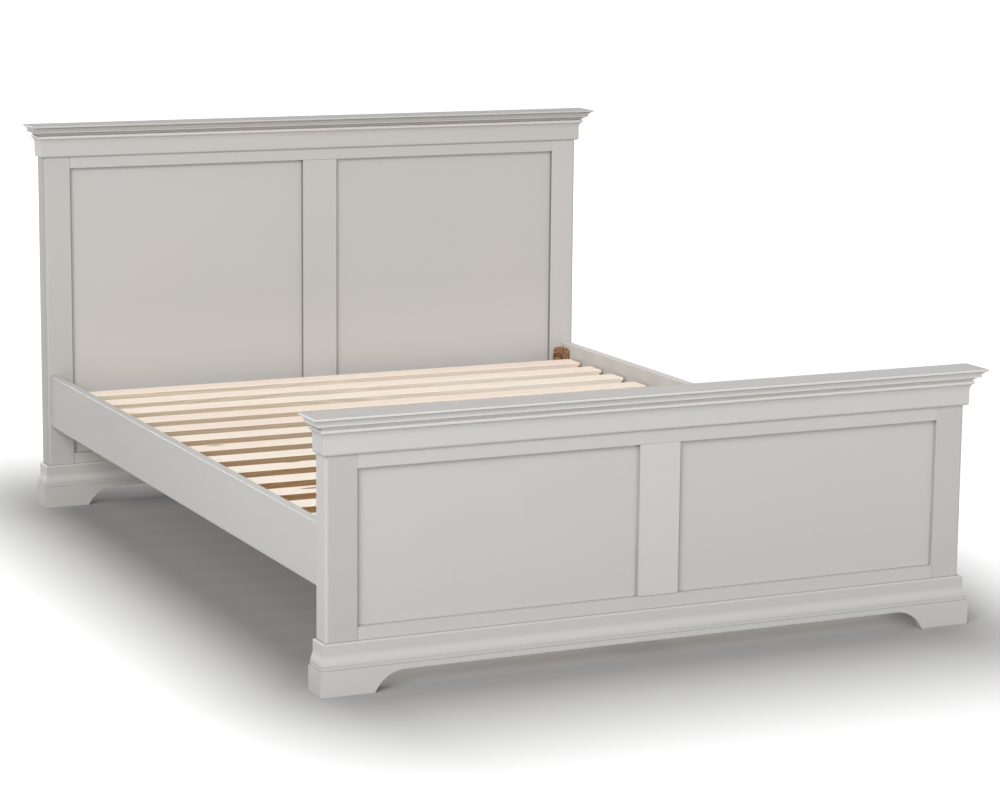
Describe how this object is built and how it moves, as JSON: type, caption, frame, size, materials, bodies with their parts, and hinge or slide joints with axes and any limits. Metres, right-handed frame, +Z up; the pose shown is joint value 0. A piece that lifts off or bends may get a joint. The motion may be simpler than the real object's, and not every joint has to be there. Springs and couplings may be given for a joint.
{
  "type": "bed frame",
  "caption": "Panelled bed frame with a tall headboard, a low footboard, cove cornices, bracket-foot plinths and a slatted pine base.",
  "frame": {"origin": "on the floor under the middle of the bounding box", "axes": "+X is the right side seen from the foot, +Y points from the footboard to the headboard, +Z is up"},
  "size_m": [1.7, 2.171, 1.0625],
  "materials": {
    "painted_frame": "satin warm grey paint",
    "pine_slats": "planed pale pine",
    "pine_battens": "planed pine",
    "bracket_steel": "bronze powder coat",
    "fastener_steel": "bronze plated",
    "glide_plastic": "black moulded plastic"
  },
  "bodies": {
    "frame": {"bed_bolts": "fastener_steel", "centre_leg": "pine_battens", "centre_rail": "pine_battens", "centre_rail_hangers": "bracket_steel", "corner_brackets": "bracket_steel", "footboard_base_moulding_front": "painted_frame", "footboard_base_moulding_left": "painted_frame", "footboard_base_moulding_right": "painted_frame", "footboard_bottom_rail": "painted_frame", "footboard_cap": "painted_frame", "footboard_frieze_front": "painted_frame", "footboard_frieze_left": "painted_frame", "footboard_frieze_right": "painted_frame", "footboard_mullion": "painted_frame", "footboard_panel_left": "painted_frame", "footboard_panel_right": "painted_frame", "footboard_plinth_front": "painted_frame", "footboard_plinth_left": "painted_frame", "footboard_plinth_right": "painted_frame", "footboard_post_left": "painted_frame", "footboard_post_right": "painted_frame", "footboard_top_rail": "painted_frame", "glide_insert": "fastener_steel", "headboard_base_moulding_front": "painted_frame", "headboard_base_moulding_left": "painted_frame", "headboard_base_moulding_right": "painted_frame", "headboard_bottom_rail": "painted_frame", "headboard_cap": "painted_frame", "headboard_frieze_front": "painted_frame", "headboard_frieze_left": "painted_frame", "headboard_frieze_right": "painted_frame", "headboard_mullion": "painted_frame", "headboard_panel_left": "painted_frame", "headboard_panel_right": "painted_frame", "headboard_plinth_front": "painted_frame", "headboard_plinth_left": "painted_frame", "headboard_plinth_right": "painted_frame", "headboard_post_left": "painted_frame", "headboard_post_right": "painted_frame", "headboard_top_rail": "painted_frame", "side_rail_left": "painted_frame", "side_rail_right": "painted_frame", "slat_01": "pine_slats", "slat_02": "pine_slats", "slat_03": "pine_slats", "slat_04": "pine_slats", "slat_05": "pine_slats", "slat_06": "pine_slats", "slat_07": "pine_slats", "slat_08": "pine_slats", "slat_09": "pine_slats", "slat_10": "pine_slats", "slat_11": "pine_slats", "slat_12": "pine_slats", "slat_13": "pine_slats", "slat_14": "pine_slats", "slat_ledger_left": "pine_battens", "slat_ledger_right": "pine_battens"},
    "leveller": {"centre_leg_glide": "glide_plastic"}
  },
  "joints": [
    {"name": "glide_slide", "type": "slide", "parent": "frame", "child": "leveller", "axis": [0, 0, -1], "range_m": [-0.01, 0.02]}
  ]
}
